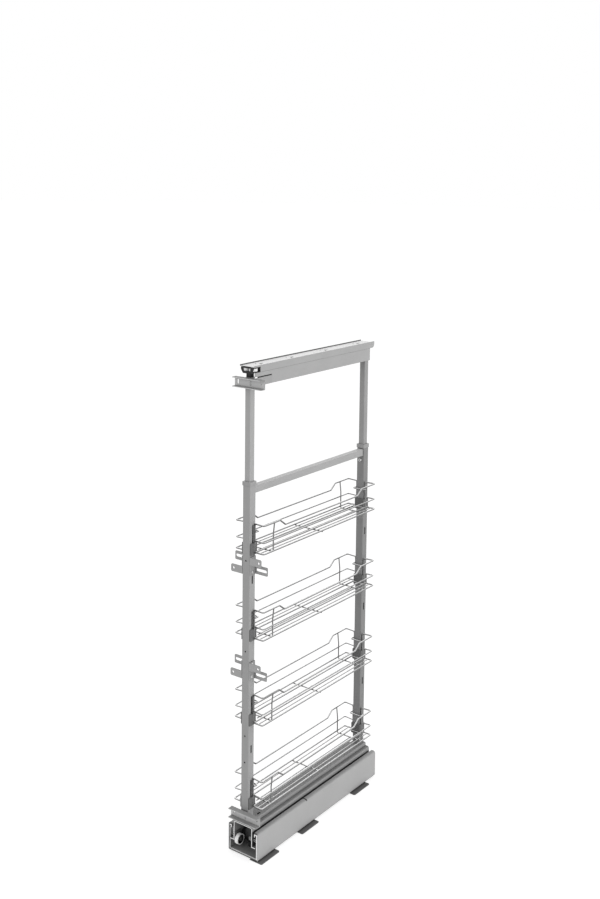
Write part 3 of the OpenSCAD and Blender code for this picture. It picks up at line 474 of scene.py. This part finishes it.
def screw(name, spots, axis, head_r, head_h, shank_r, shank_l, mat, body, kind,
          replaced):
    """Screws in one piece: a domed head with a sunk cross or hexagon, and a shank.
    A spot is the middle of the head's seat; the axis points out of the head."""
    axis = Vector(axis).normalized()
    ex = axis.orthogonal().normalized()
    ey = axis.cross(ex)
    verts, faces = [], []

    def sunk(share):
        return lambda a: recess_radius(kind, head_r, a) * share

    def level(radius):
        return lambda a: radius

    # each row is a radius by angle and a height over the seat; a row of None is one point
    rows = [(None, head_h * 0.3), (sunk(0.9), head_h * 0.3), (sunk(1.0), head_h * 0.97),
            (sunk(1.08), head_h), (level(head_r * 0.78), head_h),
            (level(head_r * 0.94), head_h * 0.82), (level(head_r), head_h * 0.5),
            (level(head_r), 0.0), (level(shank_r), 0.0), (level(shank_r), -shank_l * 0.93),
            (level(shank_r * 0.8), -shank_l), (None, -shank_l)]
    for number, spot in enumerate(spots):
        turn = 0.4 + 1.1 * number
        index = []
        for radius_at, h in rows:
            start = len(verts)
            if radius_at is None:
                index.append([start] * SCREW_SIDES)
                verts.append(Vector(spot) + axis * h)
                continue
            index.append(list(range(start, start + SCREW_SIDES)))
            for k in range(SCREW_SIDES):
                a = 2 * math.pi * k / SCREW_SIDES
                out = ex * math.cos(a + turn) + ey * math.sin(a + turn)
                verts.append(Vector(spot) + out * radius_at(a) + axis * h)
        for upper, lower in zip(index, index[1:]):
            for k in range(SCREW_SIDES):
                k2 = (k + 1) % SCREW_SIDES
                quad = (upper[k], upper[k2], lower[k2], lower[k])
                faces.append(tuple(dict.fromkeys(quad)))
    o = mesh_object(name, verts, faces, mat, body)
    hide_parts(replaced)


BRACKET_HEAD_SINK = 0.001       # the head's seat, behind the front of the plain screw
for label, screws_node, body in (("bottom", "bottom_bracket_screws", "carriage"),
                                 ("top", "top_bracket_screws", "upper_frame")):
    lo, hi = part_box(screws_node)
    x, r = (lo[0] + hi[0]) / 2, (hi[0] - lo[0]) / 2
    seat = lo[1] + BRACKET_HEAD_SINK
    screw(label + "_bracket_screw_heads", [(x, seat, lo[2] + r), (x, seat, hi[2] - r)],
          (0, -1, 0), r, 0.0012, 0.0018, hi[1] - seat, bracket, body,
          CROSS, screws_node)

LOCK_SHANK = 0.0025
lo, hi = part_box("lock_screws")
z, r = (lo[2] + hi[2]) / 2, (hi[2] - lo[2]) / 2
for label, seat, out in (("front", lo[1] + LOCK_SHANK, 1), ("rear", hi[1] - LOCK_SHANK, -1)):
    screw("lock_screw_" + label, [(0, seat, z)], (0, out, 0), r, 0.004, 0.0025, LOCK_SHANK,
          bright, "carriage", HEXAGON, "lock_screws")

BEAD_R, BEAD_LIFT = 0.0011, 0.0002
for label, paint, seed in (("front", front_post, 1.0), ("rear", rear_post, 2.3)):
    lo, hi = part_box(label + "_post")
    path = square_path((lo[0] + hi[0]) / 2, (lo[1] + hi[1]) / 2, lo[2] + BEAD_LIFT,
                       (hi[0] - lo[0]) / 2 + BEAD_LIFT)
    weld_bead(label + "_post_weld", path, BEAD_R, paint, "carriage", seed)


# ---------- floor, sky and lamps ----------
def seen_directly(nt):
    path = nt.nodes.new("ShaderNodeLightPath")
    return any_of(nt, path.outputs["Is Camera Ray"], path.outputs["Is Glossy Ray"],
                  path.outputs["Is Transmission Ray"])


FLOOR_HALF, FLOOR_DROP = 40, 0.0002
WHITE = (1, 1, 1, 1)
floor_mesh = bpy.data.meshes.new("floor")
floor_mesh.from_pydata([(-FLOOR_HALF, -FLOOR_HALF, 0), (FLOOR_HALF, -FLOOR_HALF, 0),
                        (FLOOR_HALF, FLOOR_HALF, 0), (-FLOOR_HALF, FLOOR_HALF, 0)],
                       [], [(0, 1, 2, 3)])
floor = bpy.data.objects.new("floor", floor_mesh)
bpy.context.scene.collection.objects.link(floor)
floor_material = bpy.data.materials.new("studio_floor")
floor_material.use_nodes = True
nt = floor_material.node_tree
# what lights the object is a plain pale floor; what the camera sees is near white, and keeps
# the object's shadow
plain = nt.nodes["Principled BSDF"]
plain.inputs["Base Color"].default_value = (0.85, 0.85, 0.85, 1)
plain.inputs["Roughness"].default_value = 0.9
plain.inputs["Specular IOR Level"].default_value = 0.0
shade = node(nt, "ShaderNodeBsdfDiffuse", Color=(0.5, 0.5, 0.5, 1))
glow = node(nt, "ShaderNodeEmission", Color=WHITE, Strength=0.7)
both = nt.nodes.new("ShaderNodeAddShader")
nt.links.new(shade.outputs[0], both.inputs[0])
nt.links.new(glow.outputs[0], both.inputs[1])
swap = nt.nodes.new("ShaderNodeMixShader")
nt.links.new(seen_directly(nt), swap.inputs[0])
nt.links.new(plain.outputs[0], swap.inputs[1])
nt.links.new(both.outputs[0], swap.inputs[2])
nt.links.new(swap.outputs[0], nt.nodes["Material Output"].inputs["Surface"])
floor_mesh.materials.append(floor_material)
floor.location.z = -FLOOR_DROP

# the sky: bright round the horizon and softer overhead, and plain white where it is seen
HORIZON, OVERHEAD = 1.05, 0.55
world = bpy.data.worlds.new("studio")
bpy.context.scene.world = world
world.use_nodes = True
nt = world.node_tree
background = nt.nodes["Background"]
background.inputs["Color"].default_value = WHITE
x, y, height = split(nt, nt.nodes.new("ShaderNodeTexCoord").outputs["Generated"])
white_sky = node(nt, "ShaderNodeMapRange", To_Max=1.0)
nt.links.new(seen_directly(nt), white_sky.inputs["Value"])
nt.links.new(ramp(nt, height, 0.0, 0.9, HORIZON, OVERHEAD), white_sky.inputs["To Min"])
nt.links.new(white_sky.outputs["Result"], background.inputs["Strength"])

MIDDLE = Vector((0, 0, 0.7))
for name, place, size, power in (
        ("softbox_right", (2.8, 0.2, 1.7), (1.6, 2.2), 22),
        ("softbox_front", (-0.4, -2.8, 2.2), (2.0, 2.0), 12)):
    lamp = bpy.data.lights.new(name, "AREA")
    lamp.shape = "RECTANGLE"
    lamp.size, lamp.size_y = size
    lamp.energy = power
    o = bpy.data.objects.new(name, lamp)
    o.location = place
    o.rotation_euler = (MIDDLE - Vector(place)).to_track_quat("-Z", "Y").to_euler()
    bpy.context.scene.collection.objects.link(o)
